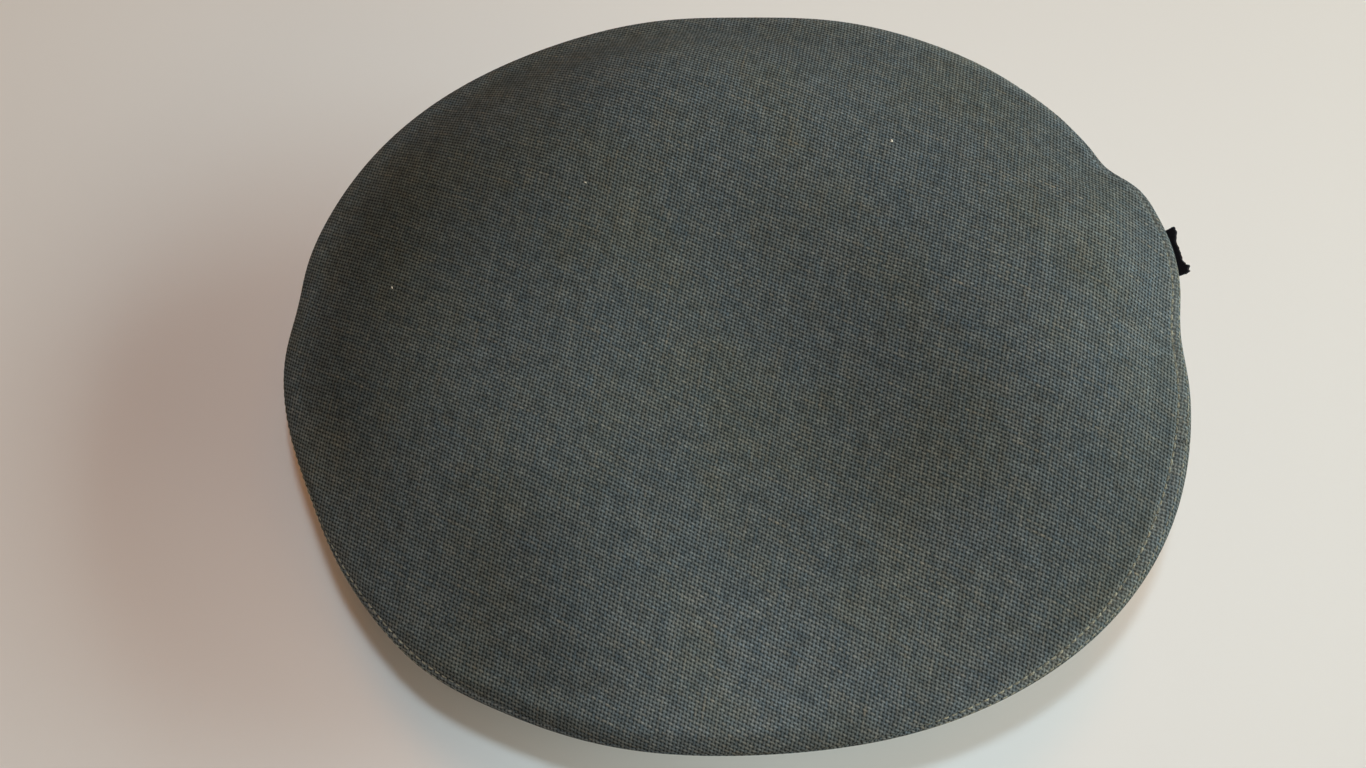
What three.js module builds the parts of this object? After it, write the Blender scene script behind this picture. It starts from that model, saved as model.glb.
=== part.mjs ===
// A peaked cap of coarse canvas, lying by itself on a flat surface: it leans back on its band,
// with the edge of the peak on the surface in front.
// Millimetres, +X to the front, +Y to the wearer's left, +Z up, the surface at z = 0.
import * as THREE from "three";
import { mergeVertices } from "three/addons/utils/BufferGeometryUtils.js";

// Walls, and the clearance that stands for each seam
const CLOTH = 2;
const BAND_WALL = 2.5;
const PEAK_WALL = 2.4;
const FELT = 1.6;
const GAP = 0.3;

// The resting pose: how far the cap leans back, and how much the soft edge under it is pressed flat
const REST = { tiltDeg: 7, pressed: 1 };

// Band: an upright oval for a head of about 56 cm, forward of the crown's middle
const BAND = { halfLong: 101, halfWide: 82, high: 44, flare: 1.5, forward: 5 };

// Rim of the crown: an oval in plan, higher at the front, drooping at the sides
const RIM = { halfLong: 143, halfWide: 125.5, turnDeg: -15, height: 93, slope: 0.1, droop: 3 };

// Where the soft rim stands out from that oval or in from it; angles run from the front to the left
const RIM_SWELLS = [
  { name: "flattened front", atDeg: -2, reachDeg: 17.5, out: -6.7 },
  { name: "bulge behind the badge", atDeg: 3, reachDeg: 10.5, out: 7.8 },
  { name: "dent right of the badge", atDeg: -11, reachDeg: 4, out: -2 },
  { name: "notch left of the badge", atDeg: 15, reachDeg: 3, out: -2.6 },
  { name: "left front shoulder", atDeg: 31, reachDeg: 8, out: 0.7 },
  { name: "flat left side", atDeg: 75, reachDeg: 9, out: -2.1 },
  { name: "left rear shoulder", atDeg: 131.5, reachDeg: 15, out: 2.8 },
  { name: "dent left of the back", atDeg: 161, reachDeg: 4, out: -1.8 },
  { name: "dent right of the back", atDeg: -173, reachDeg: 8, out: -2.7 },
  { name: "right rear shoulder", atDeg: -144, reachDeg: 7, out: 1.9 },
  { name: "flat right side", atDeg: -96.5, reachDeg: 14, out: -2.5 },
  { name: "right front shoulder", atDeg: -44.5, reachDeg: 19.5, out: 4.1 },
];

// The stitched edge of the top panel, from its underside round to its upper side: how far inside the rim
// and how high each row lies where the seam shows on top, and where the cloth has rolled over it
const EDGE_ROWS = [
  { name: "inside the bend", inside: 6.2, rise: -1.8, rolledInside: 3.3, rolledRise: -2.6 },
  { name: "under the seam", inside: 3.6, rise: -3.4, rolledInside: 3, rolledRise: -5.4 },
  { name: "lower lip", inside: 0.9, rise: -3.4, rolledInside: 1.2, rolledRise: -5.4 },
  { name: "outer lip", inside: 0, rise: -2.2, rolledInside: 0.3, rolledRise: -4.8 },
  { name: "upper lip", inside: 0.7, rise: -1, rolledInside: 0, rolledRise: -4.1 },
  { name: "welt", inside: 1.9, rise: -0.4, rolledInside: 0.1, rolledRise: -3.4 },
  { name: "stitched groove", inside: 3.2, rise: -0.5, rolledInside: 0.6, rolledRise: -2.7 },
  { name: "roll", inside: 3.6, rise: 0, rolledInside: 0.3, rolledRise: -1.9 },
  { name: "shoulder", inside: 4.1, rise: 0.3, rolledInside: 1.8, rolledRise: -0.7 },
  { name: "foot of the dome", inside: 4.8, rise: 0.6, rolledInside: 4.8, rolledRise: 0.6 },
];
const EDGE_UNDER = EDGE_ROWS[2];
const EDGE_FOOT = EDGE_ROWS.at(-1);

// The top panel by direction: how far its edge has rolled over, then a flat shelf and a run up to the dome
const DOME = { rise: 11.5, ease: 0.03, power: 2.2 };
const CROWN_SECTIONS = [
  { name: "front", atDeg: 0, roll: 0.15, shelf: 0, run: 44 },
  { name: "left front", atDeg: 45, roll: 0.85, shelf: 0, run: 58 },
  { name: "left", atDeg: 95, roll: 1, shelf: 0, run: 44 },
  { name: "left rear", atDeg: 140, roll: 1, shelf: 0, run: 64 },
  { name: "back", atDeg: 180, roll: 0.95, shelf: 0, run: 54 },
  { name: "right rear", atDeg: 211, roll: 0.45, shelf: 0, run: 62 },
  { name: "right", atDeg: 265, roll: 1, shelf: 14, run: 76 },
  { name: "right front", atDeg: 315, roll: 0, shelf: 0, run: 66 },
];

// Slack places in the top panel: an oval swell or hollow each, its long reach turned from the front
const CROWN_SWELLS = [
  { name: "valley behind the front", x: 25, y: -39, turnDeg: -75, long: 50, wide: 21, rise: -3.2 },
  { name: "hollow on the right", x: 18, y: -60, turnDeg: -39, long: 55, wide: 26, rise: -2 },
  { name: "hollow at the right rear", x: -89, y: -56, turnDeg: 32, long: 17, wide: 16, rise: -2.6 },
  { name: "swell over the front", x: 94, y: -13, turnDeg: 90, long: 48, wide: 30, rise: 1.4 },
  { name: "swell at the left front", x: 42, y: 40, turnDeg: -48, long: 58, wide: 22, rise: 4 },
  { name: "swell on the left", x: -18, y: 80, turnDeg: -8, long: 48, wide: 23, rise: 3.6 },
  { name: "swell at the back", x: -45, y: 18, turnDeg: 70, long: 58, wide: 26, rise: 3.6 },
];
const SWELL_FADE = 22;

// Side panels between the band and the rim, seam to seam
const QUARTERS = [
  { name: "quarter_front", fromDeg: -25.5, toDeg: 25.5 },
  { name: "quarter_left", fromDeg: 25.5, toDeg: 140 },
  { name: "quarter_back", fromDeg: 140, toDeg: 220 },
  { name: "quarter_right", fromDeg: 220, toDeg: 334.5 },
];
const QUARTER_BELLY = 4;

// Soft folds that run down the side panels from the dents of the rim
const QUARTER_FOLDS = [
  { name: "under the left notch", atDeg: 15, reachDeg: 5, out: -2 },
  { name: "under the right dent", atDeg: -12, reachDeg: 5, out: -1.5 },
  { name: "left flank", atDeg: 78, reachDeg: 10, out: -2.5 },
  { name: "left of the back", atDeg: 160, reachDeg: 6, out: -2.2 },
  { name: "right of the back", atDeg: -170, reachDeg: 7, out: -2.4 },
  { name: "right flank", atDeg: -98, reachDeg: 12, out: -2.5 },
];

// Peak: how far it reaches past the band in plan, at its middle and at its ends
const PEAK = { halfDeg: 58, reach: 37, endReach: 2, fullness: 2.4, taper: 0.6, spread: 0.55, hollow: 0.2 };

// Badge: a felt shield on the front panel; its top edge stands past the rim by the dip in its middle,
// and by the horn at its two corners, between these shares of its half width
const BADGE = {
  wide: 16,
  footShare: 0.6,
  footLift: 0.12,
  dip: 2.6,
  horn: 4.8,
  hornFrom: 0.35,
  hornFull: 0.8,
};

// Steps of the faceted surfaces
const STEPS = {
  around: 96,
  bandAround: 72,
  bandUp: 3,
  panelUp: 6,
  peakAcross: 28,
  badgeAcross: 8,
  badgeUp: 4,
};
const CROWN_SHARES = [0.14, 0.28, 0.41, 0.53, 0.63, 0.72, 0.8, 0.87, 0.94, 1];
const CROWN_INSIDE = 8;
const PEAK_SHARES = [0, 0.2, 0.4, 0.6, 0.8, 1];
const MERGE = 1e-3;

const FINISHES = {
  canvas: { color: 0x494d4b, roughness: 0.92, metalness: 0 },
  felt: { color: 0x0e0d10, roughness: 1, metalness: 0 },
  leather: { color: 0x151415, roughness: 0.4, metalness: 0 },
};

const { degToRad, radToDeg, clamp, lerp, euclideanModulo, smoothstep } = THREE.MathUtils;
const bell = (offset, reach) => Math.exp(-0.5 * (offset / reach) ** 2);
const turnBetween = (deg, fromDeg) => euclideanModulo(deg - fromDeg + 180, 360) - 180;
const shares = (steps) => Array.from({ length: steps + 1 }, (_, i) => i / steps);
const outward = (deg) => new THREE.Vector3(Math.cos(degToRad(deg)), Math.sin(degToRad(deg)), 0);

const TILT = degToRad(REST.tiltDeg);
const REST_LIFT = BAND.halfLong * Math.sin(TILT) - REST.pressed;

// A point of the upright cap, z = 0 at the band's lower edge, as it lies.
// The surface flattens what meets it.
function resting(x, y, z) {
  const lifted = REST_LIFT + x * Math.sin(TILT) + z * Math.cos(TILT);
  return new THREE.Vector3(BAND.forward + x * Math.cos(TILT) - z * Math.sin(TILT), y, Math.max(0, lifted));
}

function bandPoint(deg, z, inset) {
  const grown = (BAND.flare * z) / BAND.high - inset;
  const way = outward(deg);
  return resting((BAND.halfLong + grown) * way.x, (BAND.halfWide + grown) * way.y, z);
}

function rimRadius(deg) {
  const turn = degToRad(deg - RIM.turnDeg);
  const span = Math.hypot(RIM.halfWide * Math.cos(turn), RIM.halfLong * Math.sin(turn));
  const oval = (RIM.halfLong * RIM.halfWide) / span;
  return RIM_SWELLS.reduce((r, s) => r + s.out * bell(turnBetween(deg, s.atDeg), s.reachDeg), oval);
}

function rimHeight(x, y) {
  return RIM.height + RIM.slope * x - RIM.droop * (y / RIM.halfWide) ** 2;
}

// A point at this distance inside the rim, at this rise over the rim's own surface
function rimPoint(deg, inside, rise) {
  const point = outward(deg).multiplyScalar(rimRadius(deg) - inside);
  point.z = rimHeight(point.x, point.y) + rise;
  return point;
}

// The top panel's section at this direction, eased from one row of the table to the next
function crownSection(deg) {
  const at = euclideanModulo(deg, 360);
  const before = CROWN_SECTIONS.findLastIndex((row) => row.atDeg <= at);
  const a = CROWN_SECTIONS[before];
  const b = CROWN_SECTIONS[(before + 1) % CROWN_SECTIONS.length];
  const share = smoothstep((at - a.atDeg) / euclideanModulo(b.atDeg - a.atDeg, 360), 0, 1);
  return {
    roll: lerp(a.roll, b.roll, share),
    shelf: lerp(a.shelf, b.shelf, share),
    run: lerp(a.run, b.run, share),
  };
}

// A row of the stitched edge, as far rolled over as the section at this direction is
function edgeAt(deg, row) {
  const { roll } = crownSection(deg);
  return {
    inside: lerp(row.inside, row.rolledInside, roll),
    rise: lerp(row.rise, row.rolledRise, roll),
  };
}

// Height of the top panel's upper side, inside its stitched edge
function crownHeight(x, y) {
  const deg = radToDeg(Math.atan2(y, x));
  const inside = rimRadius(deg) - Math.hypot(x, y);
  const { shelf, run } = crownSection(deg);
  const share = clamp((inside - EDGE_FOOT.inside - shelf) / run, 0, 1);
  const eased = ((1 + DOME.ease) * share * share) / (share + DOME.ease);
  const dome = DOME.rise * (1 - (1 - eased) ** DOME.power);
  const slack = CROWN_SWELLS.reduce((sum, s) => {
    const way = outward(s.turnDeg);
    const along = (x - s.x) * way.x + (y - s.y) * way.y;
    const across = (y - s.y) * way.x - (x - s.x) * way.y;
    return sum + s.rise * bell(along, s.long) * bell(across, s.wide);
  }, 0);
  return rimHeight(x, y) + EDGE_FOOT.rise + dome + slack * smoothstep(inside, EDGE_FOOT.inside, SWELL_FADE);
}

// The two ends of a side panel, at the band and under the rim; inset gives its inner side
function panelEnds(deg, inset) {
  const under = edgeAt(deg, EDGE_UNDER);
  const low = bandPoint(deg, BAND.high + GAP, inset);
  const high = rimPoint(deg, under.inside + inset, under.rise - GAP);
  return { low, high };
}

// A side panel's point, from the band at share 0 to the rim at share 1
function panelPoint(deg, share, inset) {
  const { low, high } = panelEnds(deg, inset);
  const folds = QUARTER_FOLDS.reduce((r, f) => r + f.out * bell(turnBetween(deg, f.atDeg), f.reachDeg), 0);
  const bulge = (QUARTER_BELLY + folds) * Math.sin(Math.PI * share);
  return low.lerp(high, share).addScaledVector(panelOut(deg), bulge);
}

// The straight way up a side panel, and the way out of its outer face
function panelUp(deg) {
  const { low, high } = panelEnds(deg, 0);
  return high.sub(low).normalize();
}
function panelOut(deg) {
  const up = panelUp(deg);
  const way = outward(deg);
  return way.addScaledVector(up, -way.dot(up)).normalize();
}

// Sweeps closed loops of points into one closed body, all the way round or with an end cap at each end.
// A loop lists one side of the wall and then the other side backwards.
function sweep(loops, around) {
  const size = loops[0].length;
  const index = [];
  const quad = (a, b, c, d) => index.push(a, b, c, a, c, d);
  loops.slice(around ? 0 : 1).forEach((_, i) => {
    const here = i * size;
    const next = ((i + 1) % loops.length) * size;
    for (let j = 0; j < size; j++) {
      const beyond = (j + 1) % size;
      quad(here + j, next + j, next + beyond, here + beyond);
    }
  });
  if (!around) {
    const end = (loops.length - 1) * size;
    for (let j = 0; j < size / 2 - 1; j++) {
      const back = size - 1 - j;
      quad(j, j + 1, back - 1, back);
      quad(end + j, end + back, end + back - 1, end + j + 1);
    }
  }
  const geometry = new THREE.BufferGeometry();
  const positions = loops.flat().flatMap((p) => p.toArray());
  geometry.setAttribute("position", new THREE.Float32BufferAttribute(positions, 3));
  geometry.setIndex(index);
  const merged = mergeVertices(geometry, MERGE);
  const corners = Array.from(merged.index.array);
  const triangles = shares(corners.length / 3 - 1).map((_, i) => corners.slice(3 * i, 3 * i + 3));
  merged.setIndex(triangles.filter((t) => new Set(t).size === 3).flat());
  merged.computeVertexNormals();
  return merged;
}

// A wall from two surfaces: each column of the outer one up, and of the inner one down
function wall(columns, rows, outer, inner, around) {
  const loops = columns.map((u) => [
    ...rows.map((v) => outer(u, v)),
    ...rows.toReversed().map((v) => inner(u, v)),
  ]);
  return sweep(loops, around);
}

const turnsOf = (steps) => shares(steps).slice(0, steps).map((share) => 360 * share);

// Top panel: the underside from the middle out, round the edge, and the upper side back to the middle
function crownTop() {
  const sheet = (deg, share, rise) => {
    const point = outward(deg).multiplyScalar(share * (rimRadius(deg) - CROWN_INSIDE));
    point.z = crownHeight(point.x, point.y) + rise;
    return point;
  };
  const ways = [0, ...CROWN_SHARES];
  const loops = turnsOf(STEPS.around).map((deg) => [
    ...ways.map((share) => sheet(deg, share, -CLOTH)),
    ...EDGE_ROWS.map((row) => {
      const { inside, rise } = edgeAt(deg, row);
      return rimPoint(deg, inside, rise);
    }),
    ...ways.toReversed().map((share) => sheet(deg, share, 0)),
  ]);
  return sweep(loops, true);
}

function quarter({ fromDeg, toDeg }) {
  const steps = Math.round((STEPS.around * (toDeg - fromDeg)) / 360);
  const turn = (share, v) => {
    const trim = radToDeg(GAP / 2 / lerp(BAND.halfWide, RIM.halfWide, v));
    return lerp(fromDeg + trim, toDeg - trim, share);
  };
  const thick = (deg) => CLOTH / panelUp(deg).z;
  return wall(
    shares(steps),
    shares(STEPS.panelUp),
    (share, v) => panelPoint(turn(share, v), v, 0),
    (share, v) => panelPoint(turn(share, v), v, thick(turn(share, v))),
    false,
  );
}

function band() {
  return wall(
    turnsOf(STEPS.bandAround),
    shares(STEPS.bandUp),
    (deg, v) => bandPoint(deg, v * BAND.high, 0),
    (deg, v) => bandPoint(deg, v * BAND.high, BAND_WALL),
    true,
  );
}

// Peak: a flat seat under the band's front edge, then a leather plate sloping down to the surface
function peak() {
  const tip = BAND.halfLong + PEAK.reach;
  const floorUnderTip = -(REST_LIFT + tip * Math.sin(TILT)) / Math.cos(TILT);
  const plateDown = PEAK_WALL / Math.cos(Math.atan(-floorUnderTip / PEAK.reach));
  const drop = -floorUnderTip + REST.pressed - plateDown - GAP;
  const plate = (side, share, down) => {
    const deg = side * PEAK.halfDeg;
    const fullness = (1 - Math.abs(side) ** PEAK.fullness) ** PEAK.taper;
    const reach = lerp(PEAK.endReach, PEAK.reach, fullness);
    const edge = outward(deg);
    const ahead = outward(PEAK.spread * deg).multiplyScalar(reach * share);
    const slope = lerp(share, share * share, PEAK.hollow);
    const z = -GAP - down - (drop * reach * slope) / PEAK.reach;
    return resting(BAND.halfLong * edge.x + ahead.x, BAND.halfWide * edge.y + ahead.y, z);
  };
  const seat = (side, down) => {
    const edge = outward(side * PEAK.halfDeg);
    const inset = BAND_WALL;
    return resting((BAND.halfLong - inset) * edge.x, (BAND.halfWide - inset) * edge.y, -GAP - down);
  };
  const loops = shares(STEPS.peakAcross).map((share) => {
    const side = 2 * share - 1;
    return [
      seat(side, plateDown),
      ...PEAK_SHARES.map((s) => plate(side, s, plateDown)),
      ...PEAK_SHARES.toReversed().map((s) => plate(side, s, 0)),
      seat(side, 0),
    ];
  });
  return sweep(loops, false);
}

// Badge: follows the front panel up to the rim at share 1, and stands on past it to share 2
function badge() {
  const face = (side, share, off) => {
    const deg = radToDeg((side * BADGE.wide) / 2 / rimRadius(0));
    const foot = BADGE.footShare + BADGE.footLift * side ** 4;
    const horned = smoothstep(Math.abs(side), BADGE.hornFrom, BADGE.hornFull);
    const past = lerp(BADGE.dip, BADGE.horn, horned) * Math.max(0, share - 1);
    const onPanel = panelPoint(deg, lerp(foot, 1, Math.min(share, 1)), 0);
    return onPanel.addScaledVector(panelUp(deg), past).addScaledVector(panelOut(deg), GAP + off);
  };
  return wall(
    shares(STEPS.badgeAcross).map((share) => 2 * share - 1),
    [...shares(STEPS.badgeUp), 2],
    (side, share) => face(side, share, FELT),
    (side, share) => face(side, share, 0),
    false,
  );
}

function piece(name, geometry, finish) {
  const mesh = new THREE.Mesh(geometry, new THREE.MeshStandardMaterial(finish));
  mesh.name = name;
  return mesh;
}

const cap = new THREE.Group();
cap.add(piece("crown_top", crownTop(), FINISHES.canvas));
QUARTERS.forEach((row) => cap.add(piece(row.name, quarter(row), FINISHES.canvas)));
cap.add(piece("band", band(), FINISHES.canvas));
cap.add(piece("peak", peak(), FINISHES.leather));
cap.add(piece("badge", badge(), FINISHES.felt));

// The origin is the middle of the cap's box, on the surface
const middle = new THREE.Box3().setFromObject(cap, true).getCenter(new THREE.Vector3());
cap.position.set(-middle.x, -middle.y, 0);

const part = new THREE.Group();
part.name = "peaked_cap";
part.add(cap);

export default part;
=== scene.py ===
import math
from collections import namedtuple

import bmesh
import bpy
import numpy as np
from mathutils import Matrix, Vector

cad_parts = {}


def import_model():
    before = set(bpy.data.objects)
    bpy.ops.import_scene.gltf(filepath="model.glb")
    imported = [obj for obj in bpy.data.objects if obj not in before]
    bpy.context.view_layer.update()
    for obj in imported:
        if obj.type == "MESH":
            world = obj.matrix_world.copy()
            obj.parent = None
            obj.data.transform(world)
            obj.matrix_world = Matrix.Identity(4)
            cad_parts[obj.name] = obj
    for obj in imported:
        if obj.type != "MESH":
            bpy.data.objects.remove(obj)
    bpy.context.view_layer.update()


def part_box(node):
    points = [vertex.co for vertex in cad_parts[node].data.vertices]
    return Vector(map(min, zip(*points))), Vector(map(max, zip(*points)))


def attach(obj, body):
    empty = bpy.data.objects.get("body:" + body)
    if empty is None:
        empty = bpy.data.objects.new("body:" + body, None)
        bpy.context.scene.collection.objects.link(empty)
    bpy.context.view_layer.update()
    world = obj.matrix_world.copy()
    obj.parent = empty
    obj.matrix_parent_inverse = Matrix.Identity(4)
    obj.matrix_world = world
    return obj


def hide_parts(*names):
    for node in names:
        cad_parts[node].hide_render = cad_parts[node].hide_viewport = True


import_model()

# Shapes are worked out in millimetres, upright on the crown's middle, and become metres in the frame
MM = 0.001
RNG = np.random.default_rng(7)

# Walls and clearances
CLOTH = 2.0
BAND_WALL = 2.5
PEAK_WALL = 2.4
FELT = 1.6
GAP = 0.3

# The resting pose, the band's oval and the crown's rim, as the solids have them
TILT = math.radians(7)
PRESSED = 1.0
BAND = dict(half_long=101.0, half_wide=82.0, high=44.0, flare=1.5, forward=5.0)
RIM = dict(half_long=143.0, half_wide=125.5, turn_deg=-15.0, height=93.0, slope=0.1, droop=3.0)

# Where the rim stands out from its oval or in from it
Swell = namedtuple("Swell", "at_deg reach_deg out")
RIM_SWELLS = [
    Swell(-2, 17.5, -6.7),
    Swell(3, 10.5, 7.8),
    Swell(-11, 4, -2),
    Swell(15, 3, -2.6),
    Swell(31, 8, 0.7),
    Swell(75, 9, -2.1),
    Swell(131.5, 15, 2.8),
    Swell(161, 4, -1.8),
    Swell(-173, 8, -2.7),
    Swell(-144, 7, 1.9),
    Swell(-96.5, 14, -2.5),
    Swell(-44.5, 19.5, 4.1),
    Swell(9, 2.2, 0.65),
    Swell(13.3, 1.8, -0.5),
    Swell(17, 2, 0.4),
    Swell(20.5, 2, -0.35),
]

# The stitched edge of the top panel, from its underside round to its upper side:
# where each row lies where the seam is flat on top, and where the cloth has rolled over it
Edge = namedtuple("Edge", "inside rise rolled_inside rolled_rise")
EDGE_ROWS = [
    Edge(6.2, -1.8, 3.3, -2.6),
    Edge(3.6, -3.4, 3.0, -5.4),
    Edge(0.9, -3.4, 1.2, -5.4),
    Edge(0.0, -2.2, 0.3, -4.8),
    Edge(0.7, -1.0, 0.0, -4.1),
    Edge(1.9, -0.4, 0.1, -3.4),
    Edge(3.2, -0.5, 0.6, -2.7),
    Edge(3.6, 0.0, 0.3, -1.9),
    Edge(4.1, 0.3, 1.8, -0.7),
    Edge(4.8, 0.6, 4.8, 0.6),
]
UNDER_ROW, LIP_ROW, WELT_ROW, GROOVE_ROW = 2, 4, 5, 6
EDGE_FOOT = EDGE_ROWS[-1]
EDGE_STEPS = 3

# Where the stitched strip is wider, and how far each of its rows then moves in and up
STRIP_WIDER = [
    Swell(-35, 9.5, 2.2),
    Swell(-20, 10, 0.7),
]
WIDER_IN = (0, 0, 0, 0, 0.5, 0.7, 1, 1, 1, 1)
WIDER_UP = (0, 0, 0, 0, 0.2, 0.1, 0.1, 0.1, 0.1, 0.1)

# The top panel by direction: how far its edge has rolled over, a flat shelf, and a run up to the dome
DOME = dict(rise=11.5, ease=0.03, power=2.2)
Section = namedtuple("Section", "at_deg roll shelf run")
CROWN_SECTIONS = [
    Section(0, 0.15, 0, 44),
    Section(45, 0.85, 0, 58),
    Section(95, 1, 0, 44),
    Section(140, 1, 0, 64),
    Section(180, 0.95, 0, 54),
    Section(211, 0.45, 0, 62),
    Section(265, 1, 14, 76),
    Section(315, 0, 0, 66),
]

# Slack places in the top panel; the last row is a small crease that only shows in the cloth
Slack = namedtuple("Slack", "x y turn_deg long wide rise")
CROWN_SLACK = [
    Slack(25, -39, -75, 50, 21, -3.2),
    Slack(18, -60, -39, 55, 26, -2.0),
    Slack(-89, -56, 32, 17, 16, -2.6),
    Slack(94, -13, 90, 48, 30, 1.4),
    Slack(42, 40, -48, 58, 22, 4.0),
    Slack(-18, 80, -8, 48, 23, 3.6),
    Slack(-45, 18, 70, 58, 26, 3.6),
    Slack(-62, 88, 12, 14, 2.4, 0.5),
]
SLACK_FADE = 22.0

# Side panels, seam to seam, and the folds that run down them
Panel = namedtuple("Panel", "name node from_deg to_deg")
PANELS = [
    Panel("front_panel", "quarter_front", -25.5, 25.5),
    Panel("left_panel", "quarter_left", 25.5, 140),
    Panel("back_panel", "quarter_back", 140, 220),
    Panel("right_panel", "quarter_right", 220, 334.5),
]
PANEL_BELLY = 4.0
PANEL_FOLDS = [
    Swell(15, 5, -2),
    Swell(-12, 5, -1.5),
    Swell(78, 10, -2.5),
    Swell(160, 6, -2.2),
    Swell(-170, 7, -2.4),
    Swell(-98, 12, -2.5),
]
PANEL_ROWS = 26
PANEL_STEP = 2.0

PEAK = dict(half_deg=58.0, reach=37.0, end_reach=2.0, fullness=2.4, taper=0.6, spread=0.55, hollow=0.2)
BADGE = dict(wide=16.0, foot_share=0.6, foot_lift=0.12, dip=3.2, horn=4.6, horn_from=0.35, horn_full=0.8)

# Seams: a stitch's pitch, the share of it that lies on top, and its thickness
Stitch = namedtuple("Stitch", "pitch share thick")
RIM_STITCH = Stitch(2.5, 0.8, 0.66)
LIP_STITCH = Stitch(2.5, 0.7, 0.4)
SEAM_STITCH = Stitch(2.6, 0.74, 0.5)
PEAK_STITCH = Stitch(3.2, 0.76, 0.55)
BADGE_STITCH = Stitch(1.8, 0.7, 0.35)
RIM_STITCHES = 336
COLUMNS_PER_STITCH = 4
STRIP_JOIN_DEG = -25.4
Stretch = namedtuple("Stretch", "middle_deg half_deg")
DRAWN_IN = [Stretch(30, 35), Stretch(-107, 36)]
SEAM_INSIDE = 3.0
SEAM_ROUND = 1.2

# Weave: the thread pitch, and the two ways across the threads of the top panel
WEAVE_PITCH = 1.105
WARP_ACROSS_DEG = -22.3
WEFT_ACROSS_DEG = 52.6

# Marks on the top panel: two real smudges, then broad painted shade above 0 and painted light below 0 that shape the
# crown's light and shade; a rubbed pale edge with a painted highlight, a painted shade band inside the stitches, and
# three specks of lint
StainOrPaintedLight = namedtuple("StainOrPaintedLight", "x y reach strength")
MARKS_STAINS_AND_PAINTED_LIGHT = [
    # Two real smudges at the front
    StainOrPaintedLight(108, -5, 5, 0.3),
    StainOrPaintedLight(120, -19, 7, 0.18),
    # From here on painted shade where the strength is above 0 and painted light where it is below 0: broad tones that
    # shape the crown's light and shade
    StainOrPaintedLight(-128, 10, 23, 0.34),
    StainOrPaintedLight(-112, 66, 26, 0.34),
    StainOrPaintedLight(-70, 66, 34, 0.15),
    StainOrPaintedLight(-72, -101, 15, 0.2),
    StainOrPaintedLight(-85, -50, 28, 0.13),
    StainOrPaintedLight(55, -30, 25, 0.07),
    StainOrPaintedLight(-55, -15, 32, -0.1),
    StainOrPaintedLight(-22, -108, 27, -0.46),
    StainOrPaintedLight(42, -112, 26, -0.3),
    StainOrPaintedLight(118, -10, 30, -0.36),
    StainOrPaintedLight(72, 76, 38, -0.26),
    StainOrPaintedLight(5, 98, 28, -0.16),
]
# The pale strip by the rim's seam: rubbed cloth, with a painted highlight kept where the rolled edge faces the window
# lamp (at_deg, reach_deg, share)
RUBBED_AND_LIT_EDGE = dict(pale=0.64, at_deg=32, reach_deg=18, share=0.8)
# A painted shade band just inside the stitches, where the rolled edge turns down away from the lamps: its strength,
# direction, reach and row
EDGE_SHADE_BAND = dict(share=0.5, at_deg=-118, reach_deg=36, row=7.6)
# How much of the darker marks (smudges and painted shade) is left at the rim, and how far in that fades
RIM_DARKENING = 0.3
RIM_DARKENING_REACH = 22.0
Lint = namedtuple("Lint", "x y flecks")
LINT = [
    Lint(63.4, 50.1, 3),
    Lint(-33.2, 57.8, 1),
    Lint(-100.2, 40.2, 1),
]


def bell(offset, reach):
    return np.exp(-0.5 * (offset / reach) ** 2)


def turn_between(deg, from_deg):
    return (deg - from_deg + 180) % 360 - 180


def smooth(value):
    t = np.clip(value, 0, 1)
    return t * t * (3 - 2 * t)


def lerp(a, b, share):
    return a + (b - a) * share


def outward(deg):
    angle = np.radians(deg)
    return np.stack([np.cos(angle), np.sin(angle), np.zeros_like(angle)], axis=-1)


def unit(vectors):
    return vectors / np.maximum(np.linalg.norm(vectors, axis=-1, keepdims=True), 1e-9)


def along(points):
    """Distance along lines of points, from their first."""
    steps = np.linalg.norm(np.diff(points, axis=0), axis=-1)
    return np.concatenate([np.zeros_like(steps[:1]), np.cumsum(steps, axis=0)])


def rounded_line(points, steps):
    """The points again, with this many steps on a smooth curve through each stretch."""
    p = np.concatenate([2 * points[:1] - points[1:2], points, 2 * points[-1:] - points[-2:-1]])
    t = np.linspace(0, 1, steps, endpoint=False).reshape(-1, *[1] * (points.ndim - 1))
    made = []
    for a, b, c, d in zip(p, p[1:], p[2:], p[3:]):
        curve = 2 * b + (c - a) * t + (2 * a - 5 * b + 4 * c - d) * t**2 + (3 * b - a - 3 * c + d) * t**3
        made.append(curve / 2)
    return np.concatenate([*made, points[-1:]])


def drawn_to_ends(steps):
    """Shares from 0 to 1, closer together near both ends."""
    t = np.linspace(0, 1, steps + 1)
    return t - 0.8 * np.sin(2 * math.pi * t) / (2 * math.pi)


def turned_in(distance, radius):
    """How deep a rounded edge lies, at this distance from it."""
    short = 1 - np.clip(distance / radius, 0, 1)
    return radius * (1 - np.sqrt(1 - short**2))


# Shapes

REST_LIFT = BAND["half_long"] * math.sin(TILT) - PRESSED


def resting(x, y, z):
    """Points of the upright cap, z = 0 at the band's lower edge, as they lie on the surface."""
    lifted = REST_LIFT + x * math.sin(TILT) + z * math.cos(TILT)
    forward = BAND["forward"] + x * math.cos(TILT) - z * math.sin(TILT)
    return np.stack([forward, y + 0 * forward, np.maximum(0, lifted)], axis=-1)


def band_point(deg, z, inset):
    grown = BAND["flare"] * z / BAND["high"] - inset
    way = outward(deg)
    return resting((BAND["half_long"] + grown) * way[..., 0], (BAND["half_wide"] + grown) * way[..., 1], z)


def rim_radius(deg):
    turn = np.radians(deg - RIM["turn_deg"])
    span = np.hypot(RIM["half_wide"] * np.cos(turn), RIM["half_long"] * np.sin(turn))
    oval = RIM["half_long"] * RIM["half_wide"] / span
    return oval + sum(s.out * bell(turn_between(deg, s.at_deg), s.reach_deg) for s in RIM_SWELLS)


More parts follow.
